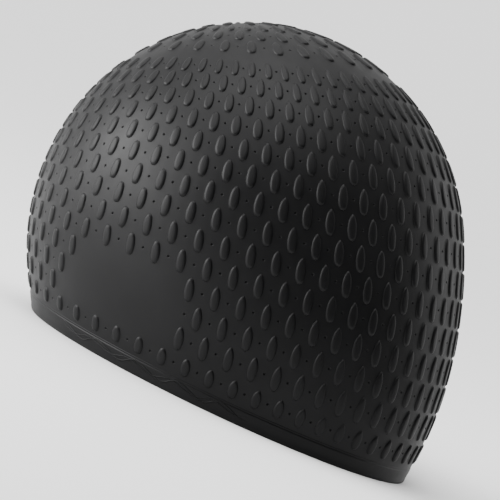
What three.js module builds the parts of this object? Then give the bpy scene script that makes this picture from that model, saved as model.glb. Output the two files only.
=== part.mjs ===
// Swim cap: one soft moulded shell with staggered rows of raised bumps, resting on its rim.
// Millimetres. The rim lies in z = 0, +Z is up, the forehead side faces -Y and the wearer's
// left side faces +X.
import * as THREE from 'three';

// Dome. It leans towards the forehead, and the level rim plane cuts it off below.
const DOME_HALF_WIDTH = 90;
const DOME_HALF_LENGTH = 98.5;
const CROWN_RISE = 100;           // from the widest line up to the crown, along the dome's axis
const SKIRT_DEPTH = 146;          // how slowly the wall draws in below the widest line
const DOME_LEAN_DEG = 30;
const DOME_CENTRE_HEIGHT = 64.5;  // height of the dome's centre over the rim plane
const WALL = 1.0;

// Band and lip round the opening.
const BAND_HEIGHT = 8;
const BAND_RAISE = 0.4;           // how far the band stands out of the dome's face
const BAND_STEP = 0.6;            // height of the slope at the band's upper edge
const LIP_HEIGHT = 2.2;
const LIP_RAISE = 0.6;            // how far the lip stands out of the band
const LIP_ROUNDING = 0.5;

// Bumps. Columns start square on the band and turn towards the dome's own crown. Rows go up
// them in equal steps, and neighbouring rows are half a column apart.
const COLUMNS = 48;
const NAPE_CLOSENESS = 0.2;       // how much closer the columns stand at the nape than all round
const COLUMN_TURN_DEG = 33;       // height, as an angle at the centre, that draws the columns up
const FIRST_HALF_COLUMN = 1;      // of the lowest row's first bump, from the side's middle
const ROW_STEPS = 20.5;           // steps from the band's upper edge to the crown
const FIRST_ROW_STEP = 0.5;       // from the band's upper edge to the middle of the lowest row
const FULL_ROWS = 14;             // rows that keep all the columns
const BUMP_LENGTH = 10.3;         // on the side of the cap; it follows the local row step
const BUMP_WIDTH = 4.4;
const BUMP_RISE = 0.9;
const BUMP_PITCH_SHARE = 0.62;    // widest that a bump gets, as a share of the column pitch
const BUMP_BELLY = -0.12;         // place of the widest point, as a share of the half length
const BUMP_RIDGE = 0.42;          // half length of the ridge, as a share of the half length
const FIRST_ROW_SHARE = 0.76;     // the row next to the band has shorter bumps

// Bare panel on the wearer's left side, in rows and in half columns behind the middle of the
// side. Its front edge moves back by a number of half columns in each row.
const PANEL = { firstRow: 1, lastRow: 3, from: -11.5, to: -0.5, frontSlant: 1 };

// Rows of the crown above the full rows: columns in each, and the shift of its first bump in
// columns of its own.
const CROWN_ROWS = [
  { columns: 24, shift: 0.5 },
  { columns: 24, shift: 0.0 },
  { columns: 24, shift: 0.5 },
  { columns: 12, shift: 0.5 },
  { columns: 12, shift: 0.0 },
];

const INNER_STEP_ROWS = 2.5;      // row steps between two rings of the inner face
const INNER_FULL_ROWS = 9;        // rows over which its rings keep all the columns
const WAY_SAMPLES = 120;          // points that a column's way is measured with
const EDGE_SAMPLES = 360;         // points that the band's upper edge is measured with
const HALF_COLUMNS = 2 * COLUMNS;
const LEAN = THREE.MathUtils.degToRad(DOME_LEAN_DEG);
const COLUMN_TURN = THREE.MathUtils.degToRad(COLUMN_TURN_DEG);

// A unit direction from the dome's centre, in the dome's own axes.
function directionAt(angle, latitude) {
  return new THREE.Vector3(
    Math.cos(latitude) * Math.cos(angle), Math.cos(latitude) * Math.sin(angle), Math.sin(latitude));
}

// The point of the dome's face in a direction, with the outward normal there.
function domePoint(direction) {
  const rise = direction.z > 0 ? CROWN_RISE : SKIRT_DEPTH;
  const sizes = new THREE.Vector3(DOME_HALF_WIDTH, DOME_HALF_LENGTH, rise);
  const sideways = new THREE.Vector3(1, 0, 0);
  const point = direction.clone().multiply(sizes).applyAxisAngle(sideways, LEAN);
  const normal = direction.clone().divide(sizes).normalize().applyAxisAngle(sideways, LEAN);
  point.z += DOME_CENTRE_HEIGHT;
  return { point, normal };
}

// Direction at which the dome's face passes a height over the rim plane.
function directionAtHeight(angle, height) {
  let low = -Math.PI / 2;
  let high = Math.PI / 4;
  for (let step = 0; step < 48; step += 1) {
    const middle = (low + high) / 2;
    if (domePoint(directionAt(angle, middle)).point.z < height) low = middle;
    else high = middle;
  }
  return directionAt(angle, (low + high) / 2);
}

// Running length along a list of points.
function runningLengths(points) {
  const lengths = [0];
  for (let i = 1; i < points.length; i += 1) {
    lengths.push(lengths[i - 1] + points[i].distanceTo(points[i - 1]));
  }
  return lengths;
}

// Place in a list of running lengths, as a whole index and a share of the next step.
function findLength(lengths, wanted) {
  let i = 0;
  while (i < lengths.length - 2 && lengths[i + 1] < wanted) i += 1;
  return { i, share: (wanted - lengths[i]) / (lengths[i + 1] - lengths[i]) };
}

// Angles that share the band's upper edge out by length, closer together towards the nape.
const edgeAngles = Array.from({ length: EDGE_SAMPLES + 1 }, (_, i) => 2 * Math.PI * i / EDGE_SAMPLES);
const edgeLengths = runningLengths(
  edgeAngles.map((angle) => domePoint(directionAtHeight(angle, BAND_HEIGHT)).point));
function columnAngle(halfColumn) {
  const turn = ((halfColumn / HALF_COLUMNS) % 1 + 1) % 1;
  const drawn = turn + NAPE_CLOSENESS * (Math.cos(2 * Math.PI * turn) - 1) / (2 * Math.PI);
  const length = ((drawn % 1) + 1) % 1 * edgeLengths[EDGE_SAMPLES];
  const { i, share } = findLength(edgeLengths, length);
  return 2 * Math.PI * (i + share) / EDGE_SAMPLES;
}

// The way of one column up the dome, as directions and running lengths.
const columnWays = new Map();
function columnWay(halfColumn) {
  const key = halfColumn.toFixed(6);
  if (!columnWays.has(key)) {
    const start = directionAtHeight(columnAngle(halfColumn), BAND_HEIGHT);
    const upright = new THREE.Vector3(0, Math.sin(LEAN), Math.cos(LEAN));
    const level = start.clone().addScaledVector(upright, -start.dot(upright)).normalize();
    const turn = level.multiplyScalar(Math.cos(COLUMN_TURN))
      .addScaledVector(upright, Math.sin(COLUMN_TURN));
    const crown = new THREE.Vector3(0, 0, 1);
    const curve = new THREE.QuadraticBezierCurve3(start, turn, crown);
    const directions = curve.getPoints(WAY_SAMPLES).map((direction) => direction.normalize());
    const lengths = runningLengths(directions.map((direction) => domePoint(direction).point));
    columnWays.set(key, { directions, lengths });
  }
  return columnWays.get(key);
}

// A point of the dome's face by its place in the lattice: half columns round from the middle of
// the left side, and row steps up from the band's upper edge.
function latticePoint(halfColumn, rowStep) {
  const { directions, lengths } = columnWay(halfColumn);
  const { i, share } = findLength(lengths, lengths[WAY_SAMPLES] * Math.min(rowStep / ROW_STEPS, 1));
  return domePoint(directions[i].clone().lerp(directions[i + 1], share).normalize());
}

// The mesh in the making.
const positions = [];
const triangles = [];

function addVertex({ point, normal }, offset = 0) {
  const moved = point.clone().addScaledVector(normal, offset);
  positions.push(moved.x, moved.y, moved.z);
  return positions.length / 3 - 1;
}

function addTriangle(a, b, c) {
  triangles.push(a, b, c);
}

// Joins two closed loops of vertices, both running the same way round, with the outer one
// first. The shares say how far round each vertex lies, from 0 to 1.
function joinLoops(outer, outerShares, inner, innerShares) {
  const nextShare = (shares, k) => {
    if (k >= shares.length) return Infinity;
    return k + 1 < shares.length ? shares[k + 1] : shares[0] + 1;
  };
  let i = 0;
  let j = 0;
  while (i < outer.length || j < inner.length) {
    const outerNow = outer[i % outer.length];
    const innerNow = inner[j % inner.length];
    if (nextShare(outerShares, i) <= nextShare(innerShares, j)) {
      addTriangle(outerNow, outer[(i + 1) % outer.length], innerNow);
      i += 1;
    } else {
      addTriangle(innerNow, outerNow, inner[(j + 1) % inner.length]);
      j += 1;
    }
  }
}

// Joins two rings that have the same number of vertices, the second one above the first.
function joinRings(lower, upper) {
  const n = lower.length;
  for (let i = 0; i < n; i += 1) {
    const next = (i + 1) % n;
    addTriangle(lower[i], lower[next], upper[next]);
    addTriangle(lower[i], upper[next], upper[i]);
  }
}

// Local width of one column in millimetres.
function columnPitch(halfColumn, rowStep) {
  const left = latticePoint(halfColumn - 1, rowStep).point;
  const right = latticePoint(halfColumn + 1, rowStep).point;
  return left.distanceTo(right);
}

// Row step on the side of the cap, which the bumps' length refers to.
const SIDE_ROW_STEP = columnWay(0).lengths[WAY_SAMPLES] / ROW_STEPS;

// One bump inside a cell, whose corners are lattice places in order round the bump.
function addBump(halfColumn, rowStep, corners, { lengthShare = 1, pitch }) {
  const halfLength = 0.5 * BUMP_LENGTH / SIDE_ROW_STEP * lengthShare;
  const halfWidth = 0.5 * Math.min(BUMP_WIDTH, BUMP_PITCH_SHARE * pitch)
    / columnPitch(halfColumn, rowStep) * 2;
  const belly = rowStep + BUMP_BELLY * halfLength;
  const outlinePlaces = [
    [halfColumn + halfWidth, belly],
    [halfColumn, rowStep + halfLength],
    [halfColumn - halfWidth, belly],
    [halfColumn, rowStep - halfLength],
  ];
  const outline = outlinePlaces.map(([column, row]) => addVertex(latticePoint(column, row)));
  const [right, top, left, bottom] = outline;
  const ridge = [-1, 1].map((side) => addVertex(
    latticePoint(halfColumn, rowStep + (BUMP_BELLY + side * BUMP_RIDGE) * halfLength), BUMP_RISE));
  addTriangle(bottom, right, ridge[0]);
  addTriangle(right, ridge[1], ridge[0]);
  addTriangle(right, top, ridge[1]);
  addTriangle(top, left, ridge[1]);
  addTriangle(left, ridge[0], ridge[1]);
  addTriangle(left, bottom, ridge[0]);
  const turn = ([column, row]) => {
    const angle = Math.atan2(row - rowStep, column - halfColumn);
    return (angle / (2 * Math.PI) + 1) % 1;
  };
  const ordered = corners.map((corner) => ({ ...corner, share: turn(corner.place) }))
    .sort((a, b) => a.share - b.share);
  joinLoops(
    ordered.map((corner) => corner.vertex), ordered.map((corner) => corner.share),
    outline, [0, 0.25, 0.5, 0.75]);
}

// Corners of the cells, made once each.
const cornerVertices = new Map();
function corner(halfColumn, rowStep) {
  const column = ((halfColumn % HALF_COLUMNS) + HALF_COLUMNS) % HALF_COLUMNS;
  const key = `${column.toFixed(3)} ${rowStep.toFixed(3)}`;
  if (!cornerVertices.has(key)) {
    cornerVertices.set(key, addVertex(latticePoint(column, rowStep)));
  }
  return { vertex: cornerVertices.get(key), place: [halfColumn, rowStep] };
}

function firstHalfColumn(row) {
  return (row + FIRST_HALF_COLUMN) % 2;
}

function onPanel(row, halfColumn) {
  if (row < PANEL.firstRow || row > PANEL.lastRow) return false;
  const place = halfColumn > COLUMNS ? halfColumn - HALF_COLUMNS : halfColumn;
  const from = PANEL.from + PANEL.frontSlant * (row - PANEL.firstRow);
  return place > from && place < PANEL.to;
}

// Rows with all the columns: a diamond cell round each bump, with its corners midway to the
// neighbours. A cell of the bare panel has no bump.
function addFullRows() {
  for (let row = 0; row < FULL_ROWS; row += 1) {
    const rowStep = row + FIRST_ROW_STEP;
    for (let place = 0; place < HALF_COLUMNS; place += 2) {
      const halfColumn = place + firstHalfColumn(row);
      const cell = [
        corner(halfColumn + 1, rowStep), corner(halfColumn, rowStep + 1),
        corner(halfColumn - 1, rowStep), corner(halfColumn, Math.max(rowStep - 1, 0)),
      ];
      if (onPanel(row, halfColumn)) {
        const [right, top, left, bottom] = cell.map(({ vertex }) => vertex);
        addTriangle(bottom, right, left);
        addTriangle(right, top, left);
      } else {
        const lengthShare = row === 0 ? FIRST_ROW_SHARE : 1;
        addBump(halfColumn, rowStep, cell,
          { lengthShare, pitch: columnPitch(halfColumn, rowStep) });
      }
    }
  }
  // half cells that level the lower and the upper edge
  const lastStep = FULL_ROWS - 1 + FIRST_ROW_STEP;
  for (let place = 0; place < HALF_COLUMNS; place += 2) {
    const low = place + firstHalfColumn(0);
    addTriangle(corner(low, 0).vertex, corner(low + 2, 0).vertex,
      corner(low + 1, FIRST_ROW_STEP).vertex);
    const high = place + firstHalfColumn(FULL_ROWS - 1);
    addTriangle(corner(high, lastStep + 1).vertex, corner(high + 1, lastStep).vertex,
      corner(high + 2, lastStep + 1).vertex);
  }
}

// Vertices on the edge between two rows of crown cells, from one place to another.
function edgeCorners(from, to, spacing, start, rowStep) {
  const places = [];
  const first = Math.ceil((from - start) / spacing - 1e-6);
  for (let i = first; start + i * spacing <= to + 1e-6; i += 1) {
    places.push(corner(start + i * spacing, rowStep));
  }
  return places;
}

// The crown: rows of fewer columns in belts, and one round bump at the middle.
function addCrown() {
  const firstStep = FULL_ROWS + FIRST_ROW_STEP;
  const beltHeight = (ROW_STEPS - 0.5 - firstStep) / CROWN_ROWS.length;
  const firstPlaceBelow = firstHalfColumn(FULL_ROWS - 1);
  let lowerEdge = { spacing: 2, start: firstPlaceBelow };
  CROWN_ROWS.forEach((row, index) => {
    const width = HALF_COLUMNS / row.columns;
    const below = firstStep + index * beltHeight;
    const above = below + beltHeight;
    const firstPlace = firstPlaceBelow + row.shift * width;
    const cellStart = firstPlace - width / 2;
    const next = CROWN_ROWS[index + 1];
    const upperEdge = { spacing: next && next.columns === row.columns ? width / 2 : width,
      start: cellStart };
    for (let i = 0; i < row.columns; i += 1) {
      const place = firstPlace + i * width;
      const from = place - width / 2;
      const to = place + width / 2;
      const cell = [
        ...edgeCorners(from, to, lowerEdge.spacing, lowerEdge.start, below),
        ...edgeCorners(from, to, upperEdge.spacing, upperEdge.start, above),
      ];
      const middle = (below + above) / 2;
      const pitch = columnPitch(place, middle) * width / 2;
      addBump(place, middle, cell, { lengthShare: 0.9 * beltHeight, pitch });
    }
    lowerEdge = upperEdge;
  });
  addCrownBump(lowerEdge, firstStep + CROWN_ROWS.length * beltHeight);
}

function addCrownBump({ spacing, start }, rowStep) {
  const count = Math.round(HALF_COLUMNS / spacing);
  const ring = [];
  for (let i = 0; i < count; i += 1) ring.push(corner(start + i * spacing, rowStep).vertex);
  const middle = latticePoint(0, ROW_STEPS);
  const crown = addVertex(middle, BUMP_RISE);
  for (let i = 0; i < count; i += 1) addTriangle(ring[i], ring[(i + 1) % count], crown);
}

// A ring of the wall at one height over the rim, pushed out of the dome's face.
function levelRing(height, offset) {
  const ring = [];
  for (let i = 0; i < COLUMNS; i += 1) {
    const angle = columnAngle(2 * i + firstHalfColumn(0));
    const { point, normal } = domePoint(directionAtHeight(angle, height));
    const level = normal.clone().setZ(0).normalize();
    point.addScaledVector(level, offset);
    positions.push(point.x, point.y, height);
    ring.push(positions.length / 3 - 1);
  }
  return ring;
}

// Band and lip, from the dome's face down and round the rim to the inner face.
function addBand() {
  const bandFace = BAND_RAISE;
  const lipFace = BAND_RAISE + LIP_RAISE;
  const outer = [
    levelRing(BAND_HEIGHT - BAND_STEP, bandFace),
    levelRing(LIP_HEIGHT, bandFace),
    levelRing(LIP_HEIGHT - LIP_ROUNDING, lipFace),
    levelRing(LIP_ROUNDING, lipFace),
    levelRing(0, lipFace - LIP_ROUNDING),
    levelRing(0, -WALL),
  ];
  const dome = [];
  for (let i = 0; i < COLUMNS; i += 1) dome.push(corner(2 * i + firstHalfColumn(0), 0).vertex);
  const rings = [dome, ...outer];
  for (let i = 0; i + 1 < rings.length; i += 1) joinRings(rings[i + 1], rings[i]);
  return rings[rings.length - 1];
}

// The inner face, one wall thickness inside the dome's face, with fewer vertices at the crown.
function addInnerFace(rim) {
  let below = rim;
  for (let rowStep = 0; rowStep < ROW_STEPS - INNER_STEP_ROWS / 2; rowStep += INNER_STEP_ROWS) {
    const ring = [];
    const thin = rowStep > INNER_FULL_ROWS ? 2 : 1;
    for (let i = 0; i < COLUMNS; i += thin) {
      ring.push(addVertex(latticePoint(2 * i + firstHalfColumn(0), rowStep), -WALL));
    }
    if (ring.length === below.length) joinRings(ring, below);
    else joinHalvedRing(ring, below);
    below = ring;
  }
  const crown = addVertex(latticePoint(0, ROW_STEPS), -WALL);
  const n = below.length;
  for (let i = 0; i < n; i += 1) addTriangle(below[(i + 1) % n], below[i], crown);
}

// Joins a ring of the inner face to one above it that has half as many vertices.
function joinHalvedRing(upper, lower) {
  const n = upper.length;
  for (let i = 0; i < n; i += 1) {
    const next = (i + 1) % n;
    const middle = lower[2 * i + 1];
    addTriangle(lower[2 * i], upper[i], middle);
    addTriangle(upper[i], upper[next], middle);
    addTriangle(middle, upper[next], lower[(2 * i + 2) % lower.length]);
  }
}

// Puts the middle of the cap's plan over the origin, and leaves its height as it is.
function centreInPlan(geometry) {
  geometry.computeBoundingBox();
  const middle = geometry.boundingBox.getCenter(new THREE.Vector3());
  geometry.translate(-middle.x, -middle.y, 0);
}

function buildCapShell() {
  addFullRows();
  addCrown();
  addInnerFace(addBand());
  const geometry = new THREE.BufferGeometry();
  geometry.setAttribute('position', new THREE.Float32BufferAttribute(positions, 3));
  geometry.setIndex(triangles);
  geometry.computeVertexNormals();
  centreInPlan(geometry);
  const material = new THREE.MeshStandardMaterial(
    { color: 0x1c1c1e, roughness: 0.62, metalness: 0 });
  const shell = new THREE.Mesh(geometry, material);
  shell.name = 'cap_shell';
  return shell;
}

const cap = new THREE.Group();
cap.add(buildCapShell());

export default cap;
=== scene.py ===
"""Swim cap of moulded black silicone, standing on its rim on a pale studio floor."""

import math

import bpy
import numpy as np
from mathutils import Matrix, Vector


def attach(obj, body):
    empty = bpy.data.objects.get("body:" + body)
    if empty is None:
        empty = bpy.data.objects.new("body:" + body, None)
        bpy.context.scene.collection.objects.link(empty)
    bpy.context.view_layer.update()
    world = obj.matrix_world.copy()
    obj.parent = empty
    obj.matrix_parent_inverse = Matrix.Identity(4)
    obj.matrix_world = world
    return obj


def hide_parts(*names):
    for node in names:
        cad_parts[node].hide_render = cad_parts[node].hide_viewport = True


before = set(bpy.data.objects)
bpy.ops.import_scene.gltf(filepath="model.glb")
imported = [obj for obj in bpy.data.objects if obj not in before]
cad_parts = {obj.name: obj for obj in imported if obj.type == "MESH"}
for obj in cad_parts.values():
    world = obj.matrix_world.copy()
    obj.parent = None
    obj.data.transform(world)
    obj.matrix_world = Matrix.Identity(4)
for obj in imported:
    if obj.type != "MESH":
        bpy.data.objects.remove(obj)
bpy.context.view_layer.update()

MM = 0.001

# Dome, in millimetres, as in the CAD solid
DOME_HALF_WIDTH = 90.0
DOME_HALF_LENGTH = 98.5
CROWN_RISE = 100.0
SKIRT_DEPTH = 146.0
LEAN = math.radians(30.0)
DOME_CENTRE_HEIGHT = 64.5
WALL = 1.0
BAND_HEIGHT = 8.0

# Lattice of bumps. A place in it is a number of half columns round from the middle of the left
# side, and a number of row steps up from the band's upper edge.
COLUMNS = 48
HALF_COLUMNS = 2 * COLUMNS
NAPE_CLOSENESS = 0.2               # how much closer the columns stand at the nape
COLUMN_TURN = math.radians(33.0)   # angle over level of the point a column bends towards
ROW_STEPS = 20.5                   # from the band's upper edge to the crown
FIRST_ROW_STEP = 0.5               # the middle of the lowest row
FIRST_HALF_COLUMN = 1              # its first bump
FULL_ROWS = 14                     # rows that keep all the columns
BUMP_LENGTH = 10.3
BUMP_WIDTH = 4.4
BUMP_RISE = 0.78
BUMP_PITCH_SHARE = 0.455           # keeps a bump inside its cell near the crown
BUMP_BELLY = -0.12                 # place of the widest point, as a share of the half length
FIRST_ROW_SHARE = 0.76             # length share of the lowest bumps
RISE_ALLOWANCE = 0.15              # added to a narrow bump's width share to give its rise share
TIP_SHARE = 1.01                   # height of a bump's middle, as a share of its highest ring's

# Bare panel low on the left side, in rows and half columns. Its front edge slants back.
PANEL = {"first_row": 1, "last_row": 3, "from": -11.5, "to": -0.5, "front_slant": 1}

# Rows of the crown: bumps in each, and the shift of the first one in columns of its own
CROWN_ROWS = [
    {"columns": 24, "shift": 0.5},
    {"columns": 24, "shift": 0.0},
    {"columns": 24, "shift": 0.5},
    {"columns": 12, "shift": 0.5},
    {"columns": 12, "shift": 0.0},
]
CROWN_LENGTH_SHARE = 0.9           # length share of a bump there, for each row step of height

# Rings of the round bump at the crown: row steps out from the crown, and height share of the rise
CROWN_BUMP_RINGS = [(0.30, 0.0), (0.26, 0.5), (0.14, 0.92)]
CROWN_BUMP_STEPS = 0.5             # row steps left for it

# Rings of one bump: width share, and height share of the rise
BUMP_RINGS = [(1.03, 0.0), (0.91, 0.48), (0.73, 0.84), (0.40, 0.98)]
BUMP_POINTS = 18
BUMP_LOW_END = 0.66                # below 1 a blunt end, above 1 a pointed one
BUMP_HIGH_END = 0.66
BUMP_NAPE_POINT = 1.0              # added to the high end at the nape
BUMP_POINT_TURN = 8                # half columns that this is turned round from the nape

# Rings of the dent behind a bump
DENT_RINGS = [(1.0, 0.0), (0.70, 0.80)]
DENT_POINTS = 10

# Rings of a pin dot: radius and depth in millimetres
DOT_RINGS = [(0.80, 0.0), (0.56, 0.04), (0.46, 0.62)]
DOT_DEPTH = 0.70
DOT_POINTS = 6

# The two faces of the wall, and into how many parts the edges of their cells are cut
OUTER = {"key": "outer", "offset": 0.0, "inward": False, "side_parts": 2, "parts": 2,
         "rings": BUMP_RINGS, "points": BUMP_POINTS, "has_dots": True}
INNER = {"key": "inner", "offset": -WALL, "inward": True, "side_parts": 1, "parts": 1,
         "rings": DENT_RINGS, "points": DENT_POINTS, "has_dots": False}

# Band and lip, seen in section: height over the rim plane and how far it stands out
BAND_SECTION = [
    (7.94, 0.00), (7.80, -0.12), (7.64, 0.05), (7.10, 0.10), (6.96, 0.00), (6.78, 0.24),
    (6.20, 0.34), (4.40, 0.40), (2.60, 0.42), (1.90, 0.50), (1.20, 0.66), (0.70, 0.68),
    (0.30, 0.56), (0.07, 0.32), (0.0, 0.0), (0.0, -0.60), (0.12, -0.88), (0.40, -1.00),
]
# Inner face of the band, with the fine groove over it
INNER_SECTION = [(6.9, -1.00), (7.25, -1.00), (7.45, -0.62), (7.65, -1.00), (7.95, -1.00)]

# Fine waves in relief low on both sides of the band
WAVE_FROM, WAVE_TO = -10.5, 6.5    # half columns
WAVE_FADE = 1.2                    # half columns over which a strand thins out at each end
WAVE_THIN_END = 0.35               # share of its width left there
WAVE_LOW_END = 0.2                 # share of its relief left there
WAVE_LENGTH = 3.7                  # half columns
WAVE_MIDDLE = 4.7                  # height over the rim plane
WAVE_STRANDS = [
    {"phase": 0.0, "swing": 1.6, "half_width": 0.32, "proud": 0.30},
    {"phase": 1.3, "swing": 1.0, "half_width": 0.24, "proud": 0.17},
]
WAVE_POINTS = 150
# Section of a strand: across as a share of its half width, and out as a share of its relief
WAVE_SECTION = [(-1, -0.2), (-0.55, 0.75), (0, 1.0), (0.55, 0.75), (1, -0.2), (0, -0.8)]
# How far out a strand's middle lies on each face, and how far and which way it stands proud
WAVE_FACES = {
    "outer": {"offset": 0.40, "proud": 1.0},
    "inner": {"offset": -1.00, "proud": -0.8},
}

# Fineness of the tables and searches
HALVINGS = 40                      # of the search for a height
EDGE_SAMPLES = 361                 # points round the band's upper edge
WAY_SAMPLES = 121                  # points up a column's way
SIDE_SAMPLES = 200                 # points up the middle of the side
TABLE_PARTS = 8                    # table columns in a half column
TABLE_ROWS = 164                   # table rows up a column

# Silicone: black, with faint clouds in its colour and its gloss, and a fine grain
SILICONE_DARK = (0.0035, 0.0035, 0.0037, 1)
SILICONE_PALE = (0.0055, 0.0055, 0.0058, 1)
SILICONE_SPECULAR = 0.14
SILICONE_ROUGHNESS = (0.42, 0.52)
CLOUD_NOISE = {"scale": 38, "detail": 4, "roughness": 0.6}
GLOSS_NOISE = {"scale": 60, "detail": 5, "roughness": 0.65}
GRAIN_NOISE = {"scale": 1400, "detail": 3, "roughness": 0.6}
NOISE_RANGE = (0.3, 0.7)           # what most of a noise lies between
GRAIN_STRENGTH = 0.25
GRAIN_DEPTH = 0.00006
MIX_FACTOR, MIX_FIRST, MIX_SECOND, MIX_RESULT = 0, 6, 7, 2   # sockets of a colour Mix node

# Studio, in degrees and metres. Directions are in the camera's level axes: right, up, and
# towards the camera.
FLOOR_HALF = 12.0
FLOOR_SHADE = (0.93, 0.93, 0.93, 1)
FLOOR_ROUGHNESS = 0.9
FLOOR_SPECULAR = 0.1
WORLD_BRIGHT_SIDE = (-0.20, 0.60, -0.75)
WORLD_EDGE = (-0.25, 0.95)         # cosines to that side at which it is darkest and brightest
WORLD_STRENGTH = (0.03, 1.3)
LAMPS = [
    {"name": "key_sun", "kind": "SUN", "towards": (-0.35, 0.85, 0.10), "energy": 3.6, "angle": 60},
    {"name": "left_softbox", "kind": "AREA", "towards": (-1.0, 0.22, 0.20), "energy": 20.0,
     "distance": 0.9, "size": (0.9, 0.4)},
    {"name": "right_rim", "kind": "AREA", "towards": (0.95, 0.45, -0.45), "energy": 1.6,
     "distance": 0.8, "size": (0.6, 0.6)},
]

# Camera, in degrees and metres
CAMERA_AZIMUTH = 116.2
CAMERA_ELEVATION = 4.5
CAMERA_ROLL = 24.5
CAMERA_DISTANCE = 2.4
IMAGE_SIZE = 500                   # pixels
PIXELS_PER_MM = 2.245
SENSOR_WIDTH = 36.0                # millimetres
CLIP_START = 0.01
LOOK_AT = (0.0022, -0.0026, 0.0644)


# Dome surface

def direction_at(angle, latitude):
    """Unit directions from the dome's centre, in the dome's own axes."""
    return np.stack([np.cos(latitude) * np.cos(angle),
                     np.cos(latitude) * np.sin(angle), np.sin(latitude) + 0 * angle], -1)


def lean_over(vectors):
    """Turns vectors of the dome's own axes into the cap's axes."""
    x, y, z = np.moveaxis(vectors, -1, 0)
    return np.stack([x, y * math.cos(LEAN) - z * math.sin(LEAN),
                     y * math.sin(LEAN) + z * math.cos(LEAN)], -1)


def dome_points(direction):
    """Points of the dome's face in unit directions, with the outward normals."""
    rise = np.where(direction[..., 2] > 0, CROWN_RISE, SKIRT_DEPTH)
    sizes = np.stack([np.full_like(rise, DOME_HALF_WIDTH),
                      np.full_like(rise, DOME_HALF_LENGTH), rise], -1)
    points = lean_over(direction * sizes)
    normals = lean_over(direction / sizes)
    normals /= np.linalg.norm(normals, axis=-1, keepdims=True)
    points[..., 2] += DOME_CENTRE_HEIGHT
    return points, normals


def direction_at_height(angle, height):
    """Directions in which the dome's face passes a height over the rim plane."""
    low = np.full_like(angle, -math.pi / 2)
    high = np.full_like(angle, math.pi / 4)
    for _ in range(HALVINGS):
        middle = (low + high) / 2
        z = dome_points(direction_at(angle, middle))[0][..., 2]
        low = np.where(z < height, middle, low)
        high = np.where(z < height, high, middle)
    return direction_at(angle, (low + high) / 2)


def running_lengths(points):
    """Running length along a list of points, or along each of several."""
    steps = np.linalg.norm(np.diff(points, axis=-2), axis=-1)
    return np.concatenate([np.zeros(steps.shape[:-1] + (1,)), np.cumsum(steps, -1)], -1)


EDGE_ANGLES = np.linspace(0, 2 * math.pi, EDGE_SAMPLES)
EDGE_LENGTHS = running_lengths(dome_points(direction_at_height(EDGE_ANGLES, BAND_HEIGHT))[0])


def column_angle(half_column):
    """Angle of a column on the band's upper edge. Columns stand closer at the nape."""
    turn = np.mod(np.asarray(half_column, float) / HALF_COLUMNS, 1.0)
    drawn = turn + NAPE_CLOSENESS * (np.cos(2 * math.pi * turn) - 1) / (2 * math.pi)
    return np.interp(np.mod(drawn, 1.0) * EDGE_LENGTHS[-1], EDGE_LENGTHS, EDGE_ANGLES)


def lattice_table():
    """Directions of the dome's face over the whole lattice.

    Each column bends from the band's upper edge to the crown, and its rows are equal steps."""
    columns = np.arange(HALF_COLUMNS * TABLE_PARTS) / TABLE_PARTS
    start = direction_at_height(column_angle(columns), BAND_HEIGHT)
    upright = np.array([0, math.sin(LEAN), math.cos(LEAN)])
    level = start - (start @ upright)[:, None] * upright
    level /= np.linalg.norm(level, axis=1, keepdims=True)
    turn = level * math.cos(COLUMN_TURN) + upright * math.sin(COLUMN_TURN)
    crown = np.array([0, 0, 1.0])
    t = np.linspace(0, 1, WAY_SAMPLES)[None, :, None]
    way = (1 - t) ** 2 * start[:, None] + 2 * t * (1 - t) * turn[:, None] + t ** 2 * crown
    way /= np.linalg.norm(way, axis=-1, keepdims=True)
    lengths = running_lengths(dome_points(way)[0])
    shares = np.linspace(0, 1, TABLE_ROWS + 1)
    table = np.empty((len(columns) + 1, len(shares), 3))
    for i in range(len(columns)):
        for axis in range(3):
            table[i, :, axis] = np.interp(shares * lengths[i, -1], lengths[i], way[i, :, axis])
    table[-1] = table[0]
    return table


TABLE = lattice_table()


def lattice(half_column, row_step):
    """Points and normals of the dome's face at places of the lattice."""
    c = np.mod(np.asarray(half_column, float), HALF_COLUMNS) * TABLE_PARTS
    r = np.clip(np.asarray(row_step, float) / ROW_STEPS, 0, 1) * TABLE_ROWS
    i = np.minimum(c.astype(int), TABLE.shape[0] - 2)
    j = np.minimum(r.astype(int), TABLE.shape[1] - 2)
    u, v = (c - i)[..., None], (r - j)[..., None]
    direction = (TABLE[i, j] * (1 - u) * (1 - v) + TABLE[i + 1, j] * u * (1 - v)
                 + TABLE[i, j + 1] * (1 - u) * v + TABLE[i + 1, j + 1] * u * v)
    direction /= np.linalg.norm(direction, axis=-1, keepdims=True)
    return dome_points(direction)


def half_column_width(half_column, row_step):
    """Width of a half column at a place, in millimetres."""
    ends, _ = lattice(np.array([half_column - 0.5, half_column + 0.5]), np.full(2, row_step))
    return float(np.linalg.norm(ends[1] - ends[0]))


def row_step_height(half_column, row_step):
    """Height of a row step at a place, in millimetres."""
    ends, _ = lattice(np.full(2, half_column), np.array([row_step - 0.5, row_step + 0.5]))
    return float(np.linalg.norm(ends[1] - ends[0]))


def side_row_step():
    """Height of a row step in the middle of the side, which the bumps' length refers to."""
    way, _ = lattice(np.zeros(SIDE_SAMPLES), np.linspace(0, ROW_STEPS, SIDE_SAMPLES))
    return float(running_lengths(way)[-1] / ROW_STEPS)


SIDE_ROW_STEP = side_row_step()


# Mesh

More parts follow.
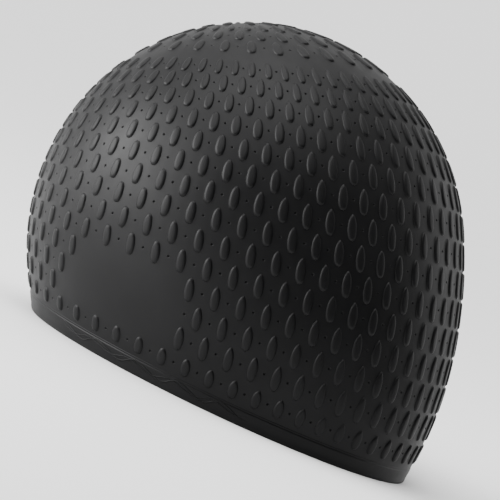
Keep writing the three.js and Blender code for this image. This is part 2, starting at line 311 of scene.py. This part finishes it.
class Skin:
    """Vertices and faces of the cap. Shared places are made once."""

    def __init__(self):
        self.points = []
        self.faces = []
        self.corners = {}
        self.creases = []

    def add(self, points):
        """Adds vertices and returns their numbers."""
        first = len(self.points)
        self.points.extend(map(tuple, points))
        return list(range(first, first + len(points)))

    def raised(self, half_column, row_step, height):
        """Adds vertices at places of the lattice, at a height over the dome's face."""
        points, normals = lattice(half_column, row_step)
        return self.add(np.atleast_2d(points + normals * height))

    def face(self, ids, inward):
        """Adds a face, turned over on the inner side of the wall."""
        self.faces.append(tuple(reversed(ids)) if inward else tuple(ids))

    def join(self, outer, outer_turns, inner, inner_turns, inward):
        """Joins two loops that run the same way, by how far round each vertex lies."""
        i = j = 0
        while i < len(outer) or j < len(inner):
            next_outer = (math.inf if i >= len(outer) else
                          outer_turns[i + 1] if i + 1 < len(outer) else outer_turns[0] + 1)
            next_inner = (math.inf if j >= len(inner) else
                          inner_turns[j + 1] if j + 1 < len(inner) else inner_turns[0] + 1)
            a, b = outer[i % len(outer)], inner[j % len(inner)]
            if next_outer <= next_inner:
                self.face((a, outer[(i + 1) % len(outer)], b), inward)
                i += 1
            else:
                self.face((b, a, inner[(j + 1) % len(inner)]), inward)
                j += 1

    def band(self, outer, inner, inward):
        """Joins two loops of equal length with quads."""
        n = len(outer)
        for i in range(n):
            k = (i + 1) % n
            self.face((outer[i], outer[k], inner[k], inner[i]), inward)

    def fan(self, loop, tip, inward):
        """Closes a loop with triangles to one vertex inside it."""
        for i, a in enumerate(loop):
            self.face((a, loop[(i + 1) % len(loop)], tip), inward)

    def crease(self, loop):
        """Keeps the edge along a loop crisp."""
        self.creases.extend(zip(loop, loop[1:] + loop[:1]))

    def corner(self, half_column, row_step, offset, key):
        """The vertex at a place of the lattice, made once for each face of the wall."""
        column = round(half_column % HALF_COLUMNS, 3) % HALF_COLUMNS
        name = (key, column, round(row_step, 3))
        if name not in self.corners:
            self.corners[name] = self.raised(column, row_step, offset)[0]
        return self.corners[name]


def bump_outline(count, centre):
    """Outline of a bump, from its right side round: across and along, each from -1 to 1."""
    t = 2 * math.pi * np.arange(count) / count
    rise, reach = np.sin(t), np.cos(t)
    column, row = centre
    turn = 2 * math.pi * (column + BUMP_POINT_TURN) / HALF_COLUMNS
    nearness = max(0.0, math.sin(turn)) * (1 - row / ROW_STEPS)
    end = np.where(rise > 0, BUMP_HIGH_END + BUMP_NAPE_POINT * nearness, BUMP_LOW_END)
    across = np.sign(reach) * np.abs(reach) ** end
    along = np.where(rise > 0, BUMP_BELLY + (1 - BUMP_BELLY) * rise,
                     BUMP_BELLY + (1 + BUMP_BELLY) * rise)
    return across, along


def cell_edge(box, low_spacing, high_spacing, side_parts):
    """Places round a cell of the lattice, counter-clockwise from its lower right corner."""
    left, right, low, high = box
    low_parts = round((right - left) / low_spacing)
    high_parts = round((right - left) / high_spacing)
    places = []
    for k in range(side_parts):
        places.append((right, low + (high - low) * k / side_parts))
    for k in range(high_parts):
        places.append((right - (right - left) * k / high_parts, high))
    for k in range(side_parts):
        places.append((left, high - (high - low) * k / side_parts))
    for k in range(low_parts):
        places.append((left + (right - left) * k / low_parts, low))
    return places


def turns_round(places, centre, box):
    """How far round a cell's centre each place lies, as shares of a turn."""
    left, right, low, high = box
    values = []
    for column, row in places:
        x = (column - centre[0]) / ((right - left) / 2)
        y = (row - centre[1]) / ((high - low) / 2)
        values.append((math.atan2(y, x) / (2 * math.pi)) % 1.0)
    return values


def rolled(ids, turns):
    """A loop that begins at its vertex with the smallest turn."""
    first = min(range(len(turns)), key=turns.__getitem__)
    return ids[first:] + ids[:first], turns[first:] + turns[:first]


def add_cell(skin, box, spacing, rings, surface):
    """Fills a cell, with or without rings of a bump, dent or dot inside it.

    Each ring is a list of places and an offset from the face."""
    key, offset, inward, side_parts = surface
    places = cell_edge(box, spacing[0], spacing[1], side_parts)
    edge = [skin.corner(column, row, offset, key) for column, row in places]
    if not rings:
        middle = ((box[0] + box[1]) / 2, (box[2] + box[3]) / 2)
        skin.fan(edge, skin.raised(*middle, offset)[0], inward)
        return
    centre = rings["centre"]
    loops = [skin.raised(columns, rows, offset + height)
             for columns, rows, height in rings["loops"]]
    columns, rows, _ = rings["loops"][0]
    ring_turns = turns_round(list(zip(columns, rows)), centre, box)
    edge, edge_turns = rolled(edge, turns_round(places, centre, box))
    ring, ring_turns = rolled(loops[0], ring_turns)
    skin.join(edge, edge_turns, ring, ring_turns, inward)
    skin.crease(loops[0])
    for outer, inner in zip(loops, loops[1:]):
        skin.band(outer, inner, inward)
    skin.fan(loops[-1], skin.raised(*centre, offset + rings["tip"])[0], inward)


def bump_rings(centre, length_share, pitch, ring_table, count):
    """Rings of a bump or of the dent behind it, in lattice places."""
    column, row = centre
    half_length = 0.5 * BUMP_LENGTH / SIDE_ROW_STEP * length_share
    half_width = 0.5 * min(BUMP_WIDTH, BUMP_PITCH_SHARE * pitch)
    across, along = bump_outline(count, centre)
    width_here = half_column_width(column, row)
    step_here = row_step_height(column, row)
    rise = BUMP_RISE * min(1.0, 2 * half_width / BUMP_WIDTH + RISE_ALLOWANCE)
    loops = []
    for share, height in ring_table:
        inset = (1 - share) * half_width / step_here
        loops.append((column + across * half_width * share / width_here,
                      row + along * (half_length - inset), height * rise))
    middle = (column, row + BUMP_BELLY * half_length)
    return {"centre": middle, "loops": loops, "tip": ring_table[-1][1] * rise * TIP_SHARE}


def dot_rings(centre):
    """Rings of a pin dot, in lattice places."""
    column, row = centre
    width_here = half_column_width(column, row)
    step_here = row_step_height(column, row)
    t = 2 * math.pi * (np.arange(DOT_POINTS) + 0.5) / DOT_POINTS
    loops = [(column + radius / width_here * np.cos(t), row + radius / step_here * np.sin(t),
              -depth) for radius, depth in DOT_RINGS]
    return {"centre": centre, "loops": loops, "tip": -DOT_DEPTH}


def on_panel(row, half_column):
    """Whether a cell lies on the bare panel."""
    if not PANEL["first_row"] <= row <= PANEL["last_row"]:
        return False
    place = half_column % HALF_COLUMNS
    if place > COLUMNS:
        place -= HALF_COLUMNS
    front = PANEL["from"] + PANEL["front_slant"] * (row - PANEL["first_row"])
    return front < place < PANEL["to"]


def lattice_rows():
    """Each row of cells: its middle, its limits, the width of a cell and its first bump."""
    rows = []
    for row in range(FULL_ROWS):
        middle = row + FIRST_ROW_STEP
        rows.append({"row": row, "middle": middle, "low": middle - 0.5, "high": middle + 0.5,
                     "cell": 1.0, "first": (row + FIRST_HALF_COLUMN) % 2,
                     "length": FIRST_ROW_SHARE if row == 0 else 1.0})
    first_place = (FULL_ROWS - 1 + FIRST_HALF_COLUMN) % 2
    base = FULL_ROWS + FIRST_ROW_STEP
    height = (ROW_STEPS - CROWN_BUMP_STEPS - base) / len(CROWN_ROWS)
    for index, crown in enumerate(CROWN_ROWS):
        below = base + index * height
        width = HALF_COLUMNS / crown["columns"]
        rows.append({"row": FULL_ROWS + index, "middle": below + height / 2,
                     "low": rows[-1]["high"], "high": below + height,
                     "cell": width / 2, "first": first_place + crown["shift"] * width,
                     "length": CROWN_LENGTH_SHARE * height})
    return rows


def crown_start():
    """Half column at which the ring round the crown begins."""
    last = lattice_rows()[-1]
    return last["first"] - last["cell"] / 2


def cell_rings(row, place, has_bump, face):
    """Rings of the bump, dent or pin dot in a cell, or none where the cell is plain."""
    if on_panel(row["row"], place):
        return None
    centre = (place, row["middle"])
    if has_bump:
        pitch = 2 * row["cell"] * half_column_width(*centre)
        return bump_rings(centre, row["length"], pitch, face["rings"], face["points"])
    return dot_rings(centre) if face["has_dots"] else None


def add_rows(skin, face):
    """All the rows of cells of one face of the wall. Returns the highest ring."""
    surface = (face["key"], face["offset"], face["inward"], face["side_parts"])
    low_spacing = 1.0 / face["parts"]
    for row in lattice_rows():
        cell = row["cell"]
        high_spacing = cell / face["parts"]
        for k in range(round(HALF_COLUMNS / cell)):
            place = row["first"] + k * cell
            box = (place - cell / 2, place + cell / 2, row["low"], row["high"])
            rings = cell_rings(row, place, k % 2 == 0, face)
            add_cell(skin, box, (low_spacing, high_spacing), rings, surface)
        low_spacing = high_spacing
    start = crown_start()
    return [skin.corner(start + i * low_spacing, row["high"], face["offset"], face["key"])
            for i in range(round(HALF_COLUMNS / low_spacing))]


def close_crown(skin, ring, face):
    """The round bump at the crown, or the plain inner face behind it."""
    count = len(ring)
    columns = np.arange(count) * HALF_COLUMNS / count + crown_start()
    loops = [ring]
    tip_height = face["offset"]
    if face is OUTER:
        loops += [skin.raised(columns, ROW_STEPS - steps_out, share * BUMP_RISE)
                  for steps_out, share in CROWN_BUMP_RINGS]
        skin.crease(loops[1])
        tip_height += BUMP_RISE
    for outer, inner in zip(loops, loops[1:]):
        skin.band(outer, inner, face["inward"])
    skin.fan(loops[-1], skin.raised(0.0, ROW_STEPS, tip_height)[0], face["inward"])


def level_parts(normals):
    """Level parts of normals, as unit vectors."""
    level = normals * np.array([1, 1, 0])
    return level / np.linalg.norm(level, axis=1, keepdims=True)


def level_ring(skin, spacing, start, height, offset):
    """A ring at one height over the rim plane, pushed level out of the dome's face."""
    columns = start + np.arange(round(HALF_COLUMNS / spacing)) * spacing
    points, normals = dome_points(direction_at_height(column_angle(columns), height))
    points = points + level_parts(normals) * offset
    points[:, 2] = height
    return skin.add(points)


def lowest_ring(skin, face):
    """The ring along the band's upper edge, its spacing and the half column it begins at."""
    first = lattice_rows()[0]
    spacing = first["cell"] / face["parts"]
    start = first["first"] - first["cell"] / 2
    count = round(HALF_COLUMNS / spacing)
    ring = [skin.corner(start + i * spacing, first["low"], face["offset"], face["key"])
            for i in range(count)]
    return ring, spacing, start


def add_band(skin):
    """Band and lip, from the outer face round the rim to the inner face."""
    outer, spacing, start = lowest_ring(skin, OUTER)
    skin.crease(outer)
    loops = [outer] + [level_ring(skin, spacing, start, height, offset)
                       for height, offset in BAND_SECTION]
    for above, below in zip(loops, loops[1:]):
        skin.band(below, above, False)
    inner, inner_spacing, inner_start = lowest_ring(skin, INNER)
    rings = [level_ring(skin, inner_spacing, inner_start, height, offset)
             for height, offset in INNER_SECTION]
    for below, above in zip(rings, rings[1:] + [inner]):
        skin.band(below, above, True)
    shift = (inner_start - start) / HALF_COLUMNS
    outer_turns = [i / len(outer) for i in range(len(outer))]
    inner_turns = [i / len(inner) + shift for i in range(len(inner))]
    skin.join(loops[-1], outer_turns, rings[0], inner_turns, True)


def new_object(name, points, skin, material):
    """A smooth object in metres, with crisp edges where the skin has creases."""
    mesh = bpy.data.meshes.new(name)
    mesh.from_pydata([tuple(MM * c for c in p) for p in points], [], skin.faces)
    mesh.validate()
    mesh.update()
    mesh.shade_smooth()
    creases = {frozenset(pair) for pair in skin.creases}
    sharp = mesh.attributes.new("sharp_edge", "BOOLEAN", "EDGE")
    sharp.data.foreach_set("value", [frozenset(edge.vertices) in creases for edge in mesh.edges])
    mesh.materials.append(material)
    piece = bpy.data.objects.new(name, mesh)
    bpy.context.scene.collection.objects.link(piece)
    return piece


def build_shell(material):
    """The cap's skin, and how far its plan was moved to have its middle over the origin."""
    skin = Skin()
    close_crown(skin, add_rows(skin, OUTER), OUTER)
    close_crown(skin, add_rows(skin, INNER), INNER)
    add_band(skin)
    points = np.array(skin.points)
    shift = -(points[:, 1].min() + points[:, 1].max()) / 2
    points[:, 1] += shift
    return new_object("silicone_cap", points, skin, material), shift


def add_strand(skin, strand, offset, outward, inward):
    """One thin strand in relief, half sunk into the band."""
    columns = np.linspace(WAVE_FROM, WAVE_TO, WAVE_POINTS)
    swing = np.cos(2 * math.pi * (columns - WAVE_FROM) / WAVE_LENGTH + strand["phase"])
    heights = WAVE_MIDDLE + strand["swing"] * swing
    fade = (np.clip((columns - WAVE_FROM) / WAVE_FADE, 0, 1)
            * np.clip((WAVE_TO - columns) / WAVE_FADE, 0, 1))
    middle, normals = dome_points(direction_at_height(column_angle(columns), heights))
    level = level_parts(normals)
    middle = middle + level * offset
    middle[:, 2] = heights
    along = np.gradient(middle, axis=0)
    along /= np.linalg.norm(along, axis=1, keepdims=True)
    across = np.cross(level, along)
    half_width = strand["half_width"] * (WAVE_THIN_END + (1 - WAVE_THIN_END) * fade)
    proud = outward * strand["proud"] * (WAVE_LOW_END + (1 - WAVE_LOW_END) * fade)
    edges = [skin.add(middle + across * (x * half_width)[:, None] + level * (z * proud)[:, None])
             for x, z in WAVE_SECTION]
    for a, b in zip(edges, edges[1:] + edges[:1]):
        for i in range(len(a) - 1):
            skin.face((a[i], b[i], b[i + 1], a[i + 1]), inward)
    skin.face([edge[0] for edge in edges][::-1], inward)
    skin.face([edge[-1] for edge in edges], inward)


def build_wave(side, face, shift, material):
    """The strands on one side of the cap and one face of the band."""
    skin = Skin()
    mirror = side == "right"
    for strand in WAVE_STRANDS:
        add_strand(skin, strand, WAVE_FACES[face]["offset"], WAVE_FACES[face]["proud"],
                   mirror != (face == "inner"))
    points = np.array(skin.points)
    if mirror:
        points[:, 0] *= -1
    points[:, 1] += shift
    return new_object(f"band_wave_{face}_{side}", points, skin, material)


# Materials

def silicone_material():
    """Matte black silicone."""
    material = bpy.data.materials.new("black_silicone")
    material.use_nodes = True
    nodes, links = material.node_tree.nodes, material.node_tree.links
    shader = nodes["Principled BSDF"]
    shader.inputs["Specular IOR Level"].default_value = SILICONE_SPECULAR
    place = nodes.new("ShaderNodeTexCoord")

    def noise(scale, detail, roughness):
        node = nodes.new("ShaderNodeTexNoise")
        node.inputs["Scale"].default_value = scale
        node.inputs["Detail"].default_value = detail
        node.inputs["Roughness"].default_value = roughness
        links.new(place.outputs["Object"], node.inputs["Vector"])
        return node.outputs["Fac"]

    def spread(source, low, high):
        node = nodes.new("ShaderNodeMapRange")
        node.inputs["From Min"].default_value = NOISE_RANGE[0]
        node.inputs["From Max"].default_value = NOISE_RANGE[1]
        node.inputs["To Min"].default_value = low
        node.inputs["To Max"].default_value = high
        links.new(source, node.inputs["Value"])
        return node.outputs["Result"]

    colour = nodes.new("ShaderNodeMix")
    colour.data_type = "RGBA"
    colour.inputs[MIX_FIRST].default_value = SILICONE_DARK
    colour.inputs[MIX_SECOND].default_value = SILICONE_PALE
    links.new(spread(noise(**CLOUD_NOISE), 0, 1), colour.inputs[MIX_FACTOR])
    links.new(colour.outputs[MIX_RESULT], shader.inputs["Base Color"])
    links.new(spread(noise(**GLOSS_NOISE), *SILICONE_ROUGHNESS), shader.inputs["Roughness"])

    grain = nodes.new("ShaderNodeBump")
    grain.inputs["Strength"].default_value = GRAIN_STRENGTH
    grain.inputs["Distance"].default_value = GRAIN_DEPTH
    links.new(noise(**GRAIN_NOISE), grain.inputs["Height"])
    links.new(grain.outputs["Normal"], shader.inputs["Normal"])
    return material


def floor_material():
    """Plain pale floor."""
    material = bpy.data.materials.new("pale_floor")
    material.use_nodes = True
    shader = material.node_tree.nodes["Principled BSDF"]
    shader.inputs["Base Color"].default_value = FLOOR_SHADE
    shader.inputs["Roughness"].default_value = FLOOR_ROUGHNESS
    shader.inputs["Specular IOR Level"].default_value = FLOOR_SPECULAR
    return material


# Studio

def build_floor():
    """A wide level floor under the rim."""
    mesh = bpy.data.meshes.new("studio_floor")
    corners = [(x * FLOOR_HALF, y * FLOOR_HALF, 0) for x, y in ((-1, -1), (1, -1), (1, 1), (-1, 1))]
    mesh.from_pydata(corners, [], [(0, 1, 2, 3)])
    mesh.materials.append(floor_material())
    floor = bpy.data.objects.new("studio_floor", mesh)
    bpy.context.scene.collection.objects.link(floor)


def camera_axes():
    """The camera's right, up and backward directions."""
    azimuth, elevation = math.radians(CAMERA_AZIMUTH), math.radians(CAMERA_ELEVATION)
    roll = math.radians(CAMERA_ROLL)
    back = Vector((math.sin(azimuth) * math.cos(elevation),
                   -math.cos(azimuth) * math.cos(elevation), math.sin(elevation)))
    level = Vector((math.cos(azimuth), math.sin(azimuth), 0))
    upright = back.cross(level)
    right = math.cos(roll) * level + math.sin(roll) * upright
    up = -math.sin(roll) * level + math.cos(roll) * upright
    return right, up, back


def studio_direction(right, above, near):
    """A direction given in the camera's level axes."""
    azimuth = math.radians(CAMERA_AZIMUTH)
    level = Vector((math.cos(azimuth), math.sin(azimuth), 0))
    back = Vector((math.sin(azimuth), -math.cos(azimuth), 0))
    return (right * level + above * Vector((0, 0, 1)) + near * back).normalized()


def build_camera():
    """A distant camera on the photo's side, with its roll, a little above the rim plane."""
    right, up, back = camera_axes()
    camera = bpy.data.cameras.new("camera")
    camera.sensor_width = SENSOR_WIDTH
    camera.lens = PIXELS_PER_MM / MM * CAMERA_DISTANCE * SENSOR_WIDTH / IMAGE_SIZE
    camera.clip_start = CLIP_START
    holder = bpy.data.objects.new("camera", camera)
    place = Vector(LOOK_AT) + back * CAMERA_DISTANCE
    holder.matrix_world = Matrix.Translation(place) @ Matrix((right, up, back)).transposed().to_4x4()
    bpy.context.scene.collection.objects.link(holder)
    bpy.context.scene.camera = holder


def add_lamp(name, kind, towards, energy, distance=0.0, size=(0.0, 0.0), angle=0.0):
    """A soft lamp in a direction from the cap, shining on it."""
    lamp = bpy.data.lights.new(name, kind)
    lamp.energy = energy
    if kind == "SUN":
        lamp.angle = math.radians(angle)
    else:
        lamp.shape = "RECTANGLE"
        lamp.size, lamp.size_y = size
    holder = bpy.data.objects.new(name, lamp)
    away = studio_direction(*towards)
    holder.location = Vector(LOOK_AT) + away * distance
    holder.rotation_euler = away.to_track_quat("Z", "Y").to_euler()
    bpy.context.scene.collection.objects.link(holder)


def build_world():
    """A studio that is bright behind the cap and over it, and dark round the camera."""
    world = bpy.data.worlds.new("studio")
    bpy.context.scene.world = world
    world.use_nodes = True
    nodes, links = world.node_tree.nodes, world.node_tree.links
    place = nodes.new("ShaderNodeTexCoord")
    facing = nodes.new("ShaderNodeVectorMath")
    facing.operation = "DOT_PRODUCT"
    facing.inputs[1].default_value = studio_direction(*WORLD_BRIGHT_SIDE)
    links.new(place.outputs["Generated"], facing.inputs[0])
    shade = nodes.new("ShaderNodeMapRange")
    shade.interpolation_type = "SMOOTHSTEP"
    shade.inputs["From Min"].default_value = WORLD_EDGE[0]
    shade.inputs["From Max"].default_value = WORLD_EDGE[1]
    shade.inputs["To Min"].default_value = WORLD_STRENGTH[0]
    shade.inputs["To Max"].default_value = WORLD_STRENGTH[1]
    nodes["Background"].inputs["Color"].default_value = (1, 1, 1, 1)
    links.new(facing.outputs["Value"], shade.inputs["Value"])
    links.new(shade.outputs["Result"], nodes["Background"].inputs["Strength"])


def build_lights():
    """The lamps round the cap."""
    for lamp in LAMPS:
        add_lamp(**lamp)


material = silicone_material()
shell, plan_shift = build_shell(material)
waves = [build_wave(side, face, plan_shift, material)
         for side in ("left", "right") for face in WAVE_FACES]
for piece in [shell] + waves:
    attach(piece, "root")
    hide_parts("cap_shell")
build_floor()
build_world()
build_lights()
build_camera()
